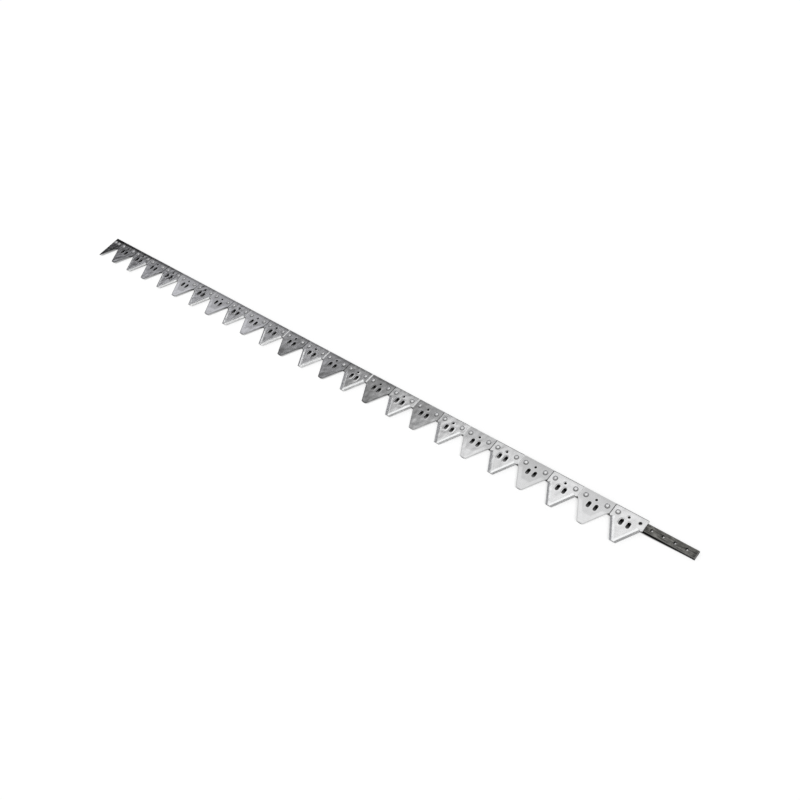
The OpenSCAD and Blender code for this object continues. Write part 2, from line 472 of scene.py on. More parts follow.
# How much rougher a mask makes the steel
ROUGH_SHARES = {"dull": 0.04, "rough_lip": 0.16, "rolled": 0.12, "sheared": 0.3, "toothed": 0.2}
NEAR_TURNED_LOSS = 0.7
HEEL_SHADE_TOP = 1.2
CUT_SHARE = 0.25
CUT_FAR_SHARE = 0.3
LEFT_DARK_SHARE = 0.6
WALL_PIERCED = -0.17
WALL_FAR = -0.17
WALL_LEAST = 0.06
ROUGH_SPREAD = 0.02
LIGHT_LEAN = 0.03
LINES_HEIGHT = 0.00002
GRAIN_HEIGHT = 0.000003

# Rims of the slots and holes
SLOT_RIM = 0.0034
MIDDLE_RIM = 0.003
OPEN_RIM = 0.0014
DIRT_RIM = 0.0016
DIRT_RADIUS = 0.0052
DIRT_SHIFT = (0.0005, 0.0008)
RIVET_WALL = 0.001
WALL_REACH = 0.0003


def beside(place, steps):
    """The place moved by each of the steps."""
    return [place + step for step in steps]


def section_faces(nodes, at, on):
    """Masks of a section's faces: ground bevels, the short ramp where one starts, rolled corners, sheared walls."""
    facing = nodes.add("ShaderNodeTexCoord", out="Normal")
    on.upright = nodes.part(facing, "Z")
    level = nodes.math("ABSOLUTE", on.upright)
    on.bevels_up = nodes.rest(at["Turned"])
    on.whole = nodes.above(at["Index"], PAST_END)
    on.end_plate = nodes.rest(on.whole)
    sloped = nodes.times(nodes.ease(level, *SLOPED_LEVELS), nodes.ease(level, *STANDING_LEVELS))
    bevel = nodes.times(sloped, nodes.ease(at["Run"], *BEVEL_START))
    on.ramp = nodes.times(
        nodes.ease(at["Edge"], *RAMP_OUTER), nodes.ease(at["Edge"], *RAMP_INNER),
        nodes.ease(at["Run"], *BEVEL_START), nodes.ease(at["Run"], *RAMP_END),
        nodes.ease(level, *RAMP_LEVELS), on.bevels_up)
    on.bevel = nodes.most(bevel, on.ramp)
    on.rolled = nodes.less(sloped, bevel)
    on.walls = nodes.ease(level, *WALL_LEVELS)
    on.sheared = nodes.times(on.walls, nodes.rest(on.ramp))


def section_zones(nodes, finish, at, on):
    """Masks of a section's zones: band, painted shades at back, heel and tip, lines along the edges, some of them
    painted shade, and painted highlights on the lit corners with painted shade on the others.
    """
    ease, times = nodes.ease, nodes.times
    depth, edge, index, turned = at["Depth"], at["Edge"], at["Index"], at["Turned"]
    near = ease(index, *NEAR_PLATES)
    on.past_far = ease(index, *PAST_FAR_PLATES)
    on.turned_far = times(turned, nodes.rest(near))
    on.near_light = times(near, nodes.rest(turned, NEAR_TURNED_LOSS))

    # Hardened band along the cutting edges of the flat side: the plate inside it is duller
    banded = nodes.most(
        times(
            ease(edge, *(finish.band * share for share in BAND_SHARES)),
            ease(depth, *beside(finish.heel_depth, HEEL_BAND))),
        ease(depth, *beside(SECTION_DEPTH, TIP_BAND)))
    on.dull = times(nodes.rest(banded), turned)
    # Painted shade: a strip along the back, a darker back edge on the far plates, a broad shade fading from the back,
    # and darker tips on some turned plates
    on.back_strip = times(ease(depth, *BACK_STRIP), nodes.line(near, *BACK_STRIP_BY_NEAR))
    on.back_edge = times(ease(depth, *BACK_EDGE), ease(index, *FAR_PLATES))
    on.heel_shade = times(
        ease(depth, *HEEL_SHADE), nodes.line(turned, *HEEL_SHADE_BY_TURNED),
        nodes.less(HEEL_SHADE_TOP, on.near_light))
    on.dark_tip = times(ease(index, *DARK_TIP_PLATES), ease(depth, *DARK_TIP), on.turned_far)

    # Lines along the cutting edges
    beyond_heel = ease(depth, *beside(finish.heel_depth, HEEL_START))
    bevel_side = times(on.bevels_up, beyond_heel)
    on.lip = times(ease(nodes.off(edge, finish.band), *LIP_WIDTH), bevel_side)
    on.rough_lip = times(on.lip, on.past_far)
    on.left = times(nodes.below(at["Across"], 0.0), bevel_side)
    left_far = times(on.left, ease(index, *LEFT_LINE_PLATES))
    on.left_line = times(ease(nodes.off(edge, LEFT_LINE_EDGE), *LEFT_LINE_WIDTH), left_far)
    # Painted shade: a dark band along the outer left bevel of the far plates
    on.left_dark = times(ease(edge, *LEFT_DARK_EDGE), left_far)
    # Painted shade: a dark outline along the cutting edges and the tip of the turned plates, stronger on the far ones
    cut_line = nodes.most(
        times(ease(edge, *CUT_EDGE), beyond_heel),
        ease(depth, *beside(SECTION_DEPTH, TIP_CUT)))
    cut_share = nodes.line(on.turned_far, CUT_FAR_SHARE, times(turned, CUT_SHARE))
    on.cut_line = times(cut_line, cut_share)
    teeth = ease(edge, *beside(finish.tooth_band, TOOTH_STEPS))
    on.toothed = times(on.bevel, teeth, nodes.line(near, *TEETH_BY_NEAR))

    # End of the heel whose corner catches the light: the right one with the bevels up, the left one when turned.
    # lit_mark paints a highlight there in bright ground steel, and corner paints shade on the other rolled corners
    lit_end = times(at["Across"], nodes.line(turned, -2.0, 1.0))
    on.lit_end = ease(lit_end, *beside(HALF_WIDTH, LIT_END))
    on.lit_mark = times(on.lit_end, ease(index, *LIT_PLATES), nodes.line(near, *LIT_BY_NEAR))
    on.corner = times(on.rolled, nodes.rest(on.lit_end))


def section_rims(nodes, finish, rim, at, on):
    """Masks round a section's slots and holes: punched rims, painted shadow beside the rivets, painted shade round an
    open hole, and the walls.
    """
    across = at["Across"]
    slot = use_group(
        nodes, rim, Across=nodes.less(nodes.math("ABSOLUTE", across), finish.slot_offset),
        Along=nodes.less(at["Depth"], finish.slot_depth),
        Radius=finish.slot_radius, Straight=finish.slot_straight, Width=SLOT_RIM)
    from_row = nodes.less(at["Depth"], ROW_DEPTH)
    middle = use_group(nodes, rim, Across=across, Along=from_row, Radius=finish.pilot_radius, Width=MIDDLE_RIM)
    # The punched rims are real raised rims in the relief, and their lighter colour is a painted highlight
    on.punched = nodes.times(nodes.most(slot["Rim"], middle["Rim"]), on.whole)

    # The nearest rivet: the end section has its own place for the outer one
    from_rivet = nodes.less(across, nodes.times(nodes.math("SIGN", across), HOLE_PITCH))
    from_end_rivet = nodes.less(across, finish.end_rivet)
    nearer = nodes.math("ADD", nodes.math("ABSOLUTE", from_end_rivet), on.whole)
    nearer = nodes.below(nearer, nodes.math("ABSOLUTE", from_rivet))
    from_rivet = nodes.line(nearer, nodes.less(from_end_rivet, from_rivet), from_rivet)
    # Painted shadow lies beside each rivet on the side away from the light, and the last section's outer hole has no
    # rivet
    dirt = use_group(
        nodes, rim, Across=nodes.less(from_rivet, DIRT_SHIFT[0]), Along=nodes.less(from_row, DIRT_SHIFT[1]),
        Radius=DIRT_RADIUS, Width=DIRT_RIM)
    open_side = nodes.times(nodes.above(at["Index"], len(SECTIONS) - PAST_END), nodes.above(across, 0.0))
    open_hole = use_group(nodes, rim, Across=from_rivet, Along=from_row, Radius=HOLE_RADIUS, Width=OPEN_RIM)
    on.dirt = nodes.times(dirt["Rim"], nodes.rest(open_side))
    # Painted shade: a darker ring round the last section's open hole
    on.open_rim = nodes.times(open_hole["Rim"], open_side)
    rivet_wall = nodes.math("ADD", dirt["Distance"], RIVET_WALL)
    nearest = nodes.least(slot["Distance"], middle["Distance"], rivet_wall)
    on.pierced = nodes.times(nodes.below(nearest, WALL_REACH), on.walls)


def section_colour(nodes, finish, at, grain, lines, on):
    """Colour of a section: its own tone with what the masks add, mostly painted shade and light, bright ground steel,
    and sheared walls darkened as painted shade.
    """
    draw = nodes.add("ShaderNodeSeparateColor", out="Blue", feed={0: at["Draw"]})
    patchy = nodes.line(on.bevels_up, *PATCHY_BY_BEVELS)
    tone = nodes.times(
        nodes.rest(draw, finish.tone_spread), nodes.ease(grain["Clouds"], *CLOUD_RANGE, patchy, CLOUD_LIGHT),
        nodes.ease(grain["Streaks"], *STREAK_TONES))
    for name, share in TONE_SHARES.items():
        tone = nodes.times(tone, nodes.rest(getattr(on, name), share))
    # Ground steel: grinding lines, painted shade on the bevels of the far plates, and the painted dark band on the
    # outer left bevel
    bright = nodes.times(
        nodes.ease(lines, *GRINDING_TONES), nodes.ease(at["Index"], *FAR_GROUND),
        nodes.rest(on.left_dark, LEFT_DARK_SHARE))
    # The lit heel corners take the bright ground steel as a painted highlight
    is_ground = nodes.most(on.bevel, on.lip, on.lit_mark)
    colour = nodes.blend(is_ground, nodes.shade(finish.steel, tone), nodes.shade(finish.ground, bright))
    # Sheared walls in painted shade, darker round the holes and on the far turned plates, and lighter at the lit heel
    # end as painted light
    wall = nodes.line(on.pierced, WALL_PIERCED, nodes.line(on.lit_end, *WALL_BY_LIT))
    wall = nodes.most(nodes.line(on.turned_far, WALL_FAR, wall), WALL_LEAST)
    return nodes.blend(on.sheared, colour, nodes.shade(finish.steel, wall))


def section_roughness(nodes, finish, at, grain, on):
    """Roughness of a section: that of its side, a little uneven, and more where the steel is worked."""
    draw = nodes.add("ShaderNodeSeparateColor", out="Green", feed={0: at["Draw"]})
    rough = nodes.line(on.bevels_up, finish.bevel_side_roughness - finish.roughness, finish.roughness)
    rough = nodes.math("ADD", rough, nodes.ease(grain["Clouds"], *CLOUD_ROUGHNESS))
    rough = nodes.line(draw, ROUGH_SPREAD, rough)
    for name, share in ROUGH_SHARES.items():
        rough = nodes.line(getattr(on, name), share, rough)
    return rough


def section_normal(nodes, finish, at, on):
    """Way that a section faces: the bevels' own slope, bright lines and corners, on a plate that leans a little."""
    fall = finish.edge_fall()
    share = nodes.math("DIVIDE", nodes.less(finish.band, at["Edge"]), finish.band - finish.tooth_band)
    share = nodes.add("ShaderNodeClamp", feed={"Value": share})
    steep = nodes.ease(
        at["Edge"], *beside(finish.tooth_band, TOOTH_STEPS), 0.0, finish.tooth_slope - finish.bevel_slope)
    slope = nodes.line(share, finish.bevel_slope, steep)
    spread = nodes.math("SINE", slope)
    ground_way = nodes.add("ShaderNodeCombineXYZ", feed={
        0: nodes.times(nodes.math("SIGN", at["Across"]), spread, math.cos(fall)),
        1: nodes.times(spread, -math.sin(fall)),
        2: nodes.times(nodes.math("SIGN", on.upright), nodes.math("COSINE", slope)),
    })
    smooth = nodes.most(nodes.times(on.bevel, finish.smoothing), on.ramp)
    normal = nodes.blend(smooth, nodes.add("ShaderNodeNewGeometry", out="Normal"), ground_way)

    broken = nodes.add("ShaderNodeCombineXYZ", feed={0: at["Run"], 1: at["Index"]})
    broken = nodes.noise(nodes.vector("MULTIPLY", broken, BROKEN_STRETCH), 1.0, detail=1.0)
    shine = nodes.most(on.lit_mark, nodes.times(on.left_line, nodes.ease(broken, *BROKEN_SHINE)))
    shine = nodes.times(shine, nodes.ease(on.upright, *UP_LEVELS))
    normal = nodes.blend(shine, normal, rgba(finish.corner_way))

    reach = 2 * finish.tilt_spread
    lean = nodes.vector("MULTIPLY", nodes.vector("SUBTRACT", at["Draw"], (0.5, 0.5, 0.5)), (reach, reach, 0.0))
    burr = nodes.times(on.lip, on.left, on.past_far, nodes.ease(broken, *BROKEN_BURR))
    to_light = nodes.times(
        *(nodes.ease(at["Index"], *plates) for plates in LEAN_PLATES), on.bevels_up, LIGHT_LEAN)
    for way, share in ((finish.burr_way, burr), (-STUDIO_BACK, to_light)):
        lean = nodes.vector("ADD", lean, nodes.shade(way, share))
    return nodes.vector("NORMALIZE", nodes.vector("ADD", normal, lean))


def section_relief(nodes, finish, at, place, grain, lines, on):
    """Height of a section's relief, in metres: waves, raised punch rims, grinding lines and grain."""
    shifted = nodes.vector("ADD", place, at["Draw"])
    waves = nodes.times(nodes.noise(shifted, WAVE_SCALE, detail=0.0), finish.waves)
    waves = nodes.line(nodes.noise(shifted, RIPPLE_SCALE, detail=1.0), finish.ripples, waves)
    height = nodes.times(waves, nodes.line(on.bevels_up, *WAVES_BY_BEVELS))
    height = nodes.line(on.punched, nodes.line(on.bevels_up, *PUNCHED_BY_BEVELS), height)
    height = nodes.line(nodes.times(lines, on.bevel), LINES_HEIGHT, height)
    return nodes.line(grain["Grain"], GRAIN_HEIGHT, height)


def section_material(finish, groups):
    """Bare blade steel: mottled plate, hardened band, punched rims, ground bevels and sheared walls, with painted
    shade and painted highlights on them.
    """
    material, nodes, shader, place = new_material("blade_steel")
    at = use_group(nodes, groups["place"], Place=place)
    grain = use_group(nodes, groups["grain"], Place=place, Streak=SECTION_STREAK)
    on = SimpleNamespace()
    section_faces(nodes, at, on)
    section_zones(nodes, finish, at, on)
    section_rims(nodes, finish, groups["rim"], at, on)
    lines = nodes.add("ShaderNodeCombineXYZ", feed={0: at["Run"], 1: at["Edge"], 2: at["Index"]})
    lines = nodes.noise(nodes.vector("MULTIPLY", lines, GRINDING_STRETCH), 1.0, detail=3.0)
    colour = section_colour(nodes, finish, at, grain, lines, on)
    rough = section_roughness(nodes, finish, at, grain, on)
    normal = section_normal(nodes, finish, at, on)
    height = section_relief(nodes, finish, at, place, grain, lines, on)
    bump = nodes.bump(Strength=1.0, Distance=1.0, Height=height, Normal=normal)
    nodes.feed(shader, {"Metallic": 1.0, "Base Color": colour, "Roughness": rough, "Normal": bump})
    return material


BAR_METALLIC = 0.85
BAR_STREAK = (45.0, 330.0, 330.0)
BAR_RAGGED = 0.003
BAR_RIM = 0.0009
WORN_CORE = 0.2
BAR_WALL_LEVELS = (0.6, 0.3)
BAR_SIDE_LEVELS = (0.4, 0.2)
SOFT_CLOUDS = (0.3, 0.7)
BAR_CLOUD_TONES = (0.72, 1.2)
BAR_STREAK_TONES = (0.33, 0.67, 0.42, 1.55)
BAR_ROUGH_STEPS = (0.1, -0.06)
BARE_CORNER, BARE_RIM = 0.6, 0.2
DARK_WALL, DARK_SIDE = 0.9, 0.88
BARE_POLISH = 0.12
STREAK_RELIEF, GRAIN_RELIEF, RIM_RELIEF = 0.5, 0.4, 0.6
BAR_BUMP = {"Strength": 0.5, "Distance": 0.0004}


def from_hole(nodes, along):
    """Distance along the bar from the nearest place in its row of holes."""
    count = nodes.math("DIVIDE", nodes.less(along, END_CENTRE), HOLE_PITCH)
    return nodes.times(nodes.less(count, nodes.math("ROUND", count)), HOLE_PITCH)


def bar_material(finish, groups):
    """Hot-rolled bar: dark skin with streaks, rubbed corners that also carry a painted highlight, drilled rims, and
    painted shade on its hole walls and side faces.
    """
    material, nodes, shader, place = new_material("bar_steel")
    grain = use_group(nodes, groups["grain"], Place=place, Streak=BAR_STREAK)
    split = nodes.add("ShaderNodeSeparateXYZ", feed={0: place}).node.outputs
    off_row = nodes.less(split["Y"], ROW_Y)
    to_side = nodes.less(BAR_HALF_WIDTH, nodes.math("ABSOLUTE", off_row))
    to_top = nodes.less(BAR_HIGH.z, split["Z"])
    to_end = nodes.less(BAR_HIGH.x, split["X"])
    to_corner = nodes.least(
        nodes.most(to_side, nodes.least(to_top, split["Z"])), nodes.most(to_end, to_top))
    ragged = nodes.times(nodes.less(grain["Streaks"], 0.5), BAR_RAGGED)
    # Rubbed strip along the corners: real wear, and also a painted highlight along the bar's edges
    worn = nodes.ease(nodes.math("ADD", to_corner, ragged), finish.worn_width, finish.worn_width * WORN_CORE)
    rim = use_group(
        nodes, groups["rim"], Across=from_hole(nodes, split["X"]), Along=off_row, Radius=HOLE_RADIUS, Width=BAR_RIM)

    facing = nodes.add("ShaderNodeTexCoord", out="Normal")
    level = nodes.math("ABSOLUTE", nodes.part(facing, "Z"))
    # Painted shade: the bar's hole walls and side faces are darkened
    wall = nodes.times(nodes.below(rim["Distance"], WALL_REACH), nodes.ease(level, *BAR_WALL_LEVELS))
    sides = nodes.ease(level, *BAR_SIDE_LEVELS)
    tone = nodes.times(
        nodes.ease(grain["Clouds"], *SOFT_CLOUDS, *BAR_CLOUD_TONES), nodes.ease(grain["Streaks"], *BAR_STREAK_TONES))
    # bare: the rubbed corners, which also carry the painted highlight, and the drilled rims
    bare = nodes.most(nodes.times(worn, BARE_CORNER), nodes.times(rim["Rim"], BARE_RIM))
    colour = nodes.blend(bare, nodes.shade(finish.scale, tone), rgba(finish.worn))
    dark = nodes.most(nodes.times(wall, DARK_WALL), nodes.times(sides, DARK_SIDE))
    colour = nodes.shade(colour, nodes.rest(dark))
    rough = nodes.ease(grain["Clouds"], *SOFT_CLOUDS, *beside(finish.roughness, BAR_ROUGH_STEPS))
    rough = nodes.less(rough, nodes.times(bare, BARE_POLISH))
    height = nodes.line(grain["Streaks"], STREAK_RELIEF, nodes.times(grain["Grain"], GRAIN_RELIEF))
    height = nodes.less(height, nodes.times(rim["Rim"], RIM_RELIEF))
    bump = nodes.bump(**BAR_BUMP, Height=height)
    nodes.feed(shader, {"Metallic": BAR_METALLIC, "Base Color": colour, "Roughness": rough, "Normal": bump})
    return material


RADIUS_SHARE = "radius_share"
RIVET_STREAK = (300.0, 300.0, 300.0)
RIVET_TONES = (0.25, 0.75, 0.9, 1.05)
RIVET_ROUGH_STEPS = (-0.04, 0.06)
RIM_SHARES = (0.9, 1.0)
RIM_TONE = 0.85
RIM_ROUGHNESS = 0.2
FAR_SIDE = (0.0, 0.3)
FLAT_SHARES = (0.6, 0.85, 0.0, 0.65)
RIVET_BUMP = {"Strength": 0.3, "Distance": 0.0003}


def rivet_material(finish, groups):
    """Bright rivet steel, darker and rougher along the head's rim."""
    material, nodes, shader, place = new_material("rivet_steel")
    grain = use_group(nodes, groups["grain"], Place=place, Streak=RIVET_STREAK)
    share = nodes.add("ShaderNodeAttribute", out="Fac", attribute_name=RADIUS_SHARE)
    rim = nodes.ease(share, *RIM_SHARES)
    steel = nodes.shade(finish.steel, nodes.ease(grain["Streaks"], *RIVET_TONES))
    colour = nodes.blend(rim, steel, rgba([RIM_TONE * c for c in finish.steel]))
    rough = nodes.ease(grain["Clouds"], *SOFT_CLOUDS, *beside(finish.roughness, RIVET_ROUGH_STEPS))
    rough = nodes.line(rim, RIM_ROUGHNESS, rough)
    # The rim's far side is beaten flatter
    normal = nodes.add("ShaderNodeNewGeometry", out="Normal")
    far = nodes.vector("DOT_PRODUCT", normal, STUDIO_BACK, out="Value")
    flat = nodes.times(nodes.ease(far, *FAR_SIDE), nodes.ease(share, *FLAT_SHARES))
    normal = nodes.vector("NORMALIZE", nodes.blend(flat, normal, (0.0, 0.0, 1.0, 1.0)))
    bump = nodes.bump(**RIVET_BUMP, Height=grain["Streaks"], Normal=normal)
    nodes.feed(shader, {"Metallic": 1.0, "Base Color": colour, "Roughness": rough, "Normal": bump})
    return material


AROUND = 28
HEAD_STEPS = 12
CROWN_DEPTH = 0.00002
SHANK_RADIUS = HOLE_RADIUS - 0.00005
HEAD_RADIUS = 0.0055
FOOT_RADIUS = 0.0045
FOOT_HEIGHT = 0.002
HEAD_HEIGHTS = (0.9, 1.0)
OVAL_MOST = 0.03
LEAN_MOST = 0.05
DENTS = 2
DENT_REACH = 0.6
DENT_DEPTH = 0.00012
DENT_WIDTH = 0.0014
SHARP_ANGLE = math.radians(40)


def rivet_places():
    """Axes of the rivets, as x, y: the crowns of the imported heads, which are their highest points."""
    mesh = frame["nodes"]["rivets"].data
    points = np.empty(len(mesh.vertices) * 3, np.float32)
    mesh.vertices.foreach_get("co", points)
    points = points.reshape(-1, 3).astype(float)
    crowns = points[points[:, 2] > RIVET_HIGH.z - CROWN_DEPTH]
    return np.unique(np.round(crowns[:, :2], 4), axis=0)


def rivet_rings(count, finish):
    """Radius and height of every ring point, as arrays of rivet, ring and angle, and the angles themselves.

    The head is a quarter superellipse turned about the axis: with a from 0 to a right angle and p the shoulder
    power, radius = R * sin(a)^(2/p) and height = h * cos(a)^(2/p). Below it come the head's flat underside, the
    shank and the sunk foot. Each head has its own height, oval and lean, and two dents with bell-shaped profiles.
    """
    draw = np.random.default_rng(finish.seed)
    angle = np.linspace(0.0, 2 * np.pi, AROUND, endpoint=False)[None, None, :]
    head = RIVET_HIGH.z - PLATE_TOP
    rise = np.linspace(0.0, np.pi / 2, HEAD_STEPS + 1)[1:]
    rim = np.sin(rise)[None, :, None] ** (2 / finish.shoulder)
    crown = np.abs(np.cos(rise))[None, :, None] ** (2 / finish.shoulder)
    below_radius = np.array([SHANK_RADIUS, SHANK_RADIUS, FOOT_RADIUS])
    below_height = np.array([PLATE_TOP, FOOT_HEIGHT, RIVET_LOW.z])

    each = (count, 1, 1)
    tall = head * draw.uniform(*HEAD_HEIGHTS, each)
    oval = draw.uniform(0.0, OVAL_MOST, each)
    long_way = draw.uniform(0.0, np.pi, each)
    lean = draw.uniform(0.0, LEAN_MOST, each)
    lean_way = draw.uniform(0.0, 2 * np.pi, each)
    swell = 1 + oval * np.cos(2 * (angle - long_way))
    head_radius = HEAD_RADIUS * rim * swell
    head_height = PLATE_TOP + tall * crown
    head_height = head_height - lean * head_radius * crown * (1 + np.cos(angle - lean_way)) / 2
    for _ in range(DENTS):
        dent_radius = draw.uniform(0.0, DENT_REACH, each) * HEAD_RADIUS
        dent_way = draw.uniform(0.0, 2 * np.pi, each)
        gap = head_radius ** 2 + dent_radius ** 2 - 2 * head_radius * dent_radius * np.cos(angle - dent_way)
        head_height = head_height - DENT_DEPTH * np.exp(-gap / DENT_WIDTH ** 2) * crown
    full = np.ones((count, 1, AROUND))
    radius = np.concatenate([head_radius, below_radius[None, :, None] * full], axis=1)
    height = np.concatenate([head_height, below_height[None, :, None] * full], axis=1)
    return radius, height, angle


def rivet_mesh(places, finish):
    """All rivets in one mesh: rings of AROUND points joined by quads, closed by a fan at crown and foot."""
    count = len(places)
    radius, height, angle = rivet_rings(count, finish)
    x = places[:, 0, None, None] + radius * np.cos(angle)
    y = places[:, 1, None, None] + radius * np.sin(angle)
    rings = np.stack([x, y, height], axis=-1)
    ring_count = rings.shape[1]
    crown = np.stack([places[:, 0], places[:, 1], height[:, 0].mean(axis=1)], axis=-1)
    foot = np.stack([places[:, 0], places[:, 1], np.full(count, RIVET_LOW.z)], axis=-1)
    vertices = np.concatenate([rings.reshape(count, -1, 3), crown[:, None], foot[:, None]], axis=1)

    here = np.arange(AROUND)
    after = (here + 1) % AROUND
    start = (np.arange(ring_count - 1) * AROUND)[:, None]
    quads = np.stack([start + here, start + AROUND + here, start + AROUND + after, start + after], axis=-1)
    last = (ring_count - 1) * AROUND
    crown_index = ring_count * AROUND
    cap = np.stack([np.full(AROUND, crown_index), here, after], axis=-1)
    base = np.stack([np.full(AROUND, crown_index + 1), last + after, last + here], axis=-1)
    step = (np.arange(count) * (crown_index + 2))[:, None, None]
    quads = (quads.reshape(-1, 4)[None] + step).reshape(-1, 4)
    fans = (np.concatenate([cap, base])[None] + step).reshape(-1, 3)

    mesh = bpy.data.meshes.new("rivet_set")
    mesh.from_pydata(vertices.reshape(-1, 3), [], quads.tolist() + fans.tolist())
    mesh.shade_smooth()
    mesh.set_sharp_from_angle(angle=SHARP_ANGLE)
    share = np.concatenate([(radius / HEAD_RADIUS).reshape(count, -1), np.zeros((count, 2))], axis=1)
    attribute = mesh.attributes.new(RADIUS_SHARE, "FLOAT", "POINT")
    attribute.data.foreach_set("value", share.ravel().astype(np.float32))
    return mesh


def wear(name, material):
    """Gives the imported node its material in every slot."""
    for slot in frame["nodes"][name].material_slots:
        slot.material = material


def shared_groups(context):
    """The shader groups that the finishes share, made once."""
    makers = {
        "Rolled grain": ("grain", rolled_grain_group),
        "Hole rim": ("rim", hole_rim_group),
        "Section place": ("place", lambda: section_place_group(context.scene.sickle_sections)),
    }
    return {key: bpy.data.node_groups.get(name) or make() for name, (key, make) in makers.items()}


class SICKLE_OT_sections(bpy.types.Operator):
    """Finish the blade sections and the end section in bare steel"""

    bl_idname = "sickle.sections"
    bl_label = "Finish sections"

    def execute(self, context):
        material = section_material(context.scene.sickle_sections, shared_groups(context))
        for name in [*SECTIONS, "end_section"]:
            wear(name, material)
        return {"FINISHED"}


class SICKLE_OT_bar(bpy.types.Operator):
    """Finish the knife back in dark rolled steel"""

    bl_idname = "sickle.bar"
    bl_label = "Finish knife back"

    def execute(self, context):
        wear("knife_back", bar_material(context.scene.sickle_bar, shared_groups(context)))
        return {"FINISHED"}


class SICKLE_OT_rivets(bpy.types.Operator):
    """Set a hammered rivet on every rivet axis"""

    bl_idname = "sickle.rivets"
    bl_label = "Set rivets"

    def execute(self, context):
        finish = context.scene.sickle_rivets
        places = rivet_places()
        expected = 2 * len(SECTIONS) + 1
        if len(places) != expected:
            raise RuntimeError(f"{len(places)} rivet crowns found in the frame, and {expected} expected")
        rivets = bpy.data.objects.new("rivet_set", rivet_mesh(places, finish))
        context.scene.collection.objects.link(rivets)
        rivets.data.materials.append(rivet_material(finish, shared_groups(context)))
        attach(rivets, "root")
        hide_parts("rivets")
        return {"FINISHED"}


# Brightness of the studio walls from the horizon behind the knife (0 degrees), over the top, to the camera's side
STUDIO_WALLS = [
    (0, 0.6), (18, 0.5), (27, 0.04), (34, 0.02), (36.2, 0.22), (37.6, 0.8), (41.5, 0.86), (43.5, 0.22), (46, 0.18),
    (60, 0.28), (100, 0.3), (118, 0.2), (126, 0.25), (140, 0.45), (165, 0.55), (180, 0.55)]
STUDIO_BACK = Vector((-0.8, 0.6, 0.0))
COOL_END = 43
COOL_SHARE = 1.045
SOFT_BOX_AXIS = Vector((-0.109, 0.235, 0.966))
SOFT_BOX_LEVEL = 1.05
WINDOW_AXIS = Vector((-0.8, 0.6, 0.05))
WINDOW_LEVEL = 0.75
HALF_TURN = 180


def fill_world(world, stage):
    """White round the camera's view, even light for matt surfaces, and walls with two round lights in shiny ones.

    The walls' level follows the angle of the ray above the horizon behind the knife, in the upright plane that the
    camera looks along: from 0 there to 180 degrees on the camera's side. The level of the soft box above and of the
    low window behind follows the angle between the ray and the light's axis.
    """
    world.use_nodes = True
    tree = world.node_tree
    tree.nodes.clear()
    nodes = Nodes(tree)
    ray = nodes.add("ShaderNodeTexCoord", out="Generated")
    away = nodes.vector("DOT_PRODUCT", ray, STUDIO_BACK, out="Value")
    up = nodes.part(ray, "Z")
    angle = nodes.math("DIVIDE", nodes.math("ARCTAN2", up, away), math.pi)
    ramp = nodes.add("ShaderNodeValToRGB", feed={"Fac": angle}).node
    ramp.color_ramp.interpolation = "EASE"
    stops = ramp.color_ramp.elements
    for place, _ in STUDIO_WALLS[1:-1]:
        stops.new(place / HALF_TURN)
    for stop, (place, level) in zip(stops, STUDIO_WALLS):
        stop.position = place / HALF_TURN
        cool = COOL_SHARE if place < COOL_END else 1.0
        stop.color = (level, level, level * cool, 1.0)
    studio = ramp.outputs["Color"]
    half_fade = stage.box_fade / 2
    for axis, level, radius in (
            (SOFT_BOX_AXIS, SOFT_BOX_LEVEL, stage.box_radius), (WINDOW_AXIS, WINDOW_LEVEL, stage.window_radius)):
        off_axis = nodes.math("ARCCOSINE", nodes.vector("DOT_PRODUCT", ray, axis.normalized(), out="Value"))
        lit = nodes.ease(off_axis, radius + half_fade, radius - half_fade)
        studio = nodes.blend(lit, studio, rgba([level] * 3))
    path = tree.nodes.new("ShaderNodeLightPath").outputs
    even = rgba([stage.sky_level] * 3)
    colour = nodes.blend(path["Is Glossy Ray"], even, studio)
    seen = nodes.most(path["Is Camera Ray"], path["Is Transmission Ray"])
    colour = nodes.blend(seen, colour, rgba((1.0, 1.0, 1.0)))
    background = nodes.add("ShaderNodeBackground", feed={"Color": colour, "Strength": 1.0})
    nodes.feed(tree.nodes.new("ShaderNodeOutputWorld"), {"Surface": background})


# The floor's shade: soft borders from the plates' edges and tips, in their slots, and from the bar's front
SHADE_EDGE = (0.002, 0.008)
SHADE_TIP = (-0.001, -0.007)
SHADE_AT_TIP = 0.7
SHADE_SLOTS = (0.027, 0.036)
SLOT_SHARES = (20.5, 22.0, 0.7, 0.88)
UNDER_SHARE = 0.975
BAR_LAP = 0.002
BAR_STRIP = (0.005, 0.001)
TAIL_REACH = (0.001, 0.005)
TAIL_CORE = 0.2
TAIL_LAP = 0.001
HOLE_LAP = 0.003
HOLE_SHARES = (-0.0008, -0.0018, 0.1, 1.0)


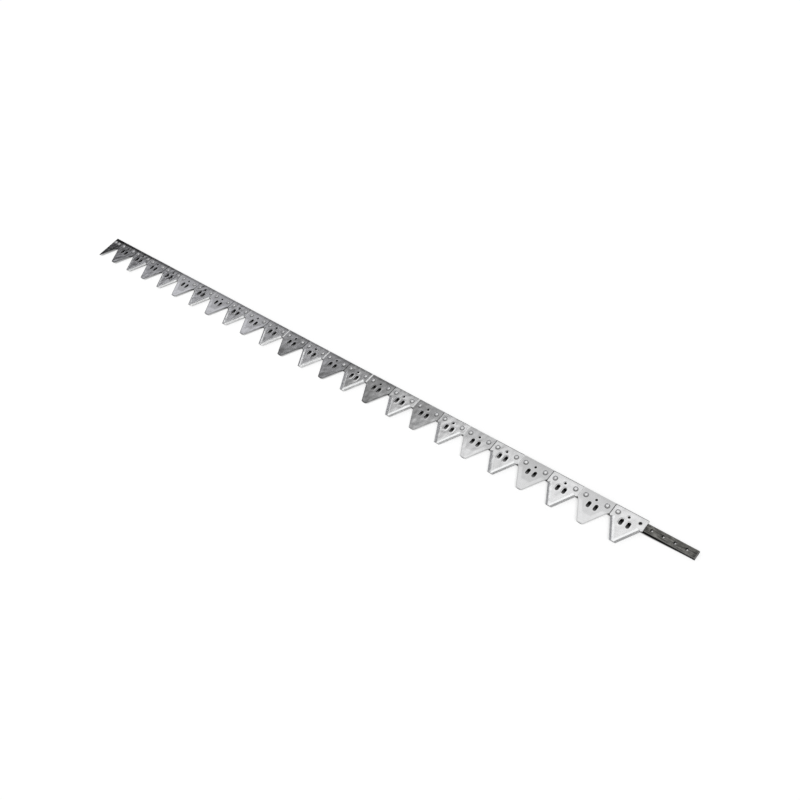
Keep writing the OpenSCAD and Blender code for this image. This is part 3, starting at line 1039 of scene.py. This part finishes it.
def floor_material(stage, groups):
    """Matt white floor that keeps the shadow and glows a little in the eye and in shiny steel.

    The floor is in full shade in the narrow room under the plates: along the bar's front, and inwards from the
    plates' cutting edges, less so towards the tips. In the bar's holes it is in shade on the far side.
    """
    material, nodes, shader, place = new_material("floor_white")
    ease, times = nodes.ease, nodes.times
    at = use_group(nodes, groups["place"], Place=place)
    depth = at["Depth"]
    along = nodes.part(place, "X")
    bar_front = BACK_Y - BAR_LOW.y
    in_front = nodes.above(depth, bar_front - BAR_LAP)

    under = times(
        ease(at["Edge"], *SHADE_EDGE),
        ease(depth, bar_front + BAR_LAP, SECTION_DEPTH, 1.0, SHADE_AT_TIP),
        ease(depth, *beside(SECTION_DEPTH, SHADE_TIP)),
        ease(depth, *SHADE_SLOTS, 1.0, ease(at["Index"], *SLOT_SHARES)), UNDER_SHARE)
    strip = ease(depth, *beside(bar_front, BAR_STRIP))
    deep = times(nodes.most(under, strip), in_front, nodes.below(along, LAST_HIGH.x))
    # Beside the bare tail the strip narrows towards the bar's end
    reach = ease(along, BAR_HIGH.x, LAST_HIGH.x, *TAIL_REACH)
    tail = times(
        ease(nodes.less(depth, bar_front), reach, times(reach, TAIL_CORE)), in_front,
        nodes.below(along, BAR_HIGH.x), nodes.above(along, LAST_HIGH.x - TAIL_LAP))
    deep = times(nodes.most(deep, tail), nodes.above(along, CAD_LOW.x))
    holes = times(
        nodes.below(nodes.off(depth, ROW_DEPTH), HOLE_RADIUS + HOLE_LAP),
        nodes.above(along, BAR_LOW.x), nodes.below(along, BAR_HIGH.x),
        ease(from_hole(nodes, along), *HOLE_SHARES))
    bright = nodes.rest(nodes.most(deep, holes))
    path = nodes.tree.nodes.new("ShaderNodeLightPath").outputs
    seen = nodes.most(path["Is Camera Ray"], path["Is Glossy Ray"], path["Is Transmission Ray"])
    nodes.feed(shader, {
        "Roughness": 1.0, "Specular IOR Level": 0.0, "Base Color": nodes.shade(stage.floor_colour, bright),
        "Emission Color": nodes.shade((1.0, 1.0, 1.0), bright),
        "Emission Strength": times(seen, stage.floor_glow),
    })
    return material


FLOOR_RADIUS = 14.0
FLOOR_SIDES = 64
FLOOR_DROP = 0.0003
SENSOR_WIDTH = 36.0


def floor_mesh():
    """Flat disc just below the knife's underside: one ring of points round its middle."""
    turn = np.linspace(0.0, 2 * np.pi, FLOOR_SIDES, endpoint=False)
    drop = np.full(FLOOR_SIDES, -FLOOR_DROP)
    rim = np.stack([np.cos(turn) * FLOOR_RADIUS, np.sin(turn) * FLOOR_RADIUS, drop], axis=-1)
    mesh = bpy.data.meshes.new("floor")
    mesh.from_pydata(rim, [], [list(range(FLOOR_SIDES))])
    return mesh


def set_up(scene, name, data, place, look):
    """Sets up a lamp or camera at a place, turned to look along a direction."""
    thing = bpy.data.objects.new(name, data)
    thing.location = place
    thing.rotation_mode = "QUATERNION"
    thing.rotation_quaternion = look.to_track_quat("-Z", "Y")
    scene.collection.objects.link(thing)
    return thing


class SICKLE_OT_stage(bpy.types.Operator):
    """Lay out the floor, the light and the camera"""

    bl_idname = "sickle.stage"
    bl_label = "Lay out studio"

    def execute(self, context):
        scene = context.scene
        stage = scene.sickle_stage
        floor = bpy.data.objects.new("floor", floor_mesh())
        floor.data.materials.append(floor_material(stage, shared_groups(context)))
        scene.collection.objects.link(floor)

        place = Vector(stage.camera_place)
        lamp = set_up(scene, "soft_lamp", bpy.data.lights.new("soft_lamp", "SUN"), place, -place)
        lamp.data.energy = stage.lamp_level
        lamp.data.angle = stage.lamp_width
        lamp.visible_glossy = False

        scene.world = scene.world or bpy.data.worlds.new("studio")
        fill_world(scene.world, stage)

        look = Vector(stage.camera_target) - place
        camera = set_up(scene, "camera", bpy.data.cameras.new("camera"), place, look)
        camera.rotation_quaternion = camera.rotation_quaternion @ Quaternion((0, 0, 1), stage.camera_roll)
        camera.data.sensor_width = SENSOR_WIDTH
        camera.data.lens = stage.camera_lens
        scene.camera = camera
        scene.view_settings.view_transform = "Standard"
        return {"FINISHED"}


class SICKLE_PT_panel(bpy.types.Panel):
    """Finishes of the sickle knife"""

    bl_idname = "SICKLE_PT_panel"
    bl_label = "Sickle knife"
    bl_space_type = "VIEW_3D"
    bl_region_type = "UI"
    bl_category = "Sickle"

    def draw(self, context):
        for key, (group, operator) in PARTS.items():
            box = self.layout.box()
            box.operator(operator.bl_idname)
            settings = getattr(context.scene, key)
            for name in group.__annotations__:
                box.prop(settings, name)


PARTS = {
    "sickle_sections": (SectionFinish, SICKLE_OT_sections),
    "sickle_bar": (BarFinish, SICKLE_OT_bar),
    "sickle_rivets": (RivetFinish, SICKLE_OT_rivets),
    "sickle_stage": (StageFinish, SICKLE_OT_stage),
}


def register():
    for key, (group, operator) in PARTS.items():
        bpy.utils.register_class(group)
        bpy.utils.register_class(operator)
        setattr(bpy.types.Scene, key, PointerProperty(type=group))
    bpy.utils.register_class(SICKLE_PT_panel)


def unregister():
    bpy.utils.unregister_class(SICKLE_PT_panel)
    for key, (group, operator) in reversed(PARTS.items()):
        delattr(bpy.types.Scene, key)
        bpy.utils.unregister_class(operator)
        bpy.utils.unregister_class(group)


def main():
    """Registers the add-on, dresses the knife and lays out the studio."""
    register()
    bpy.ops.sickle.sections()
    bpy.ops.sickle.bar()
    bpy.ops.sickle.rivets()
    bpy.ops.sickle.stage()


if __name__ == "__main__":
    main()
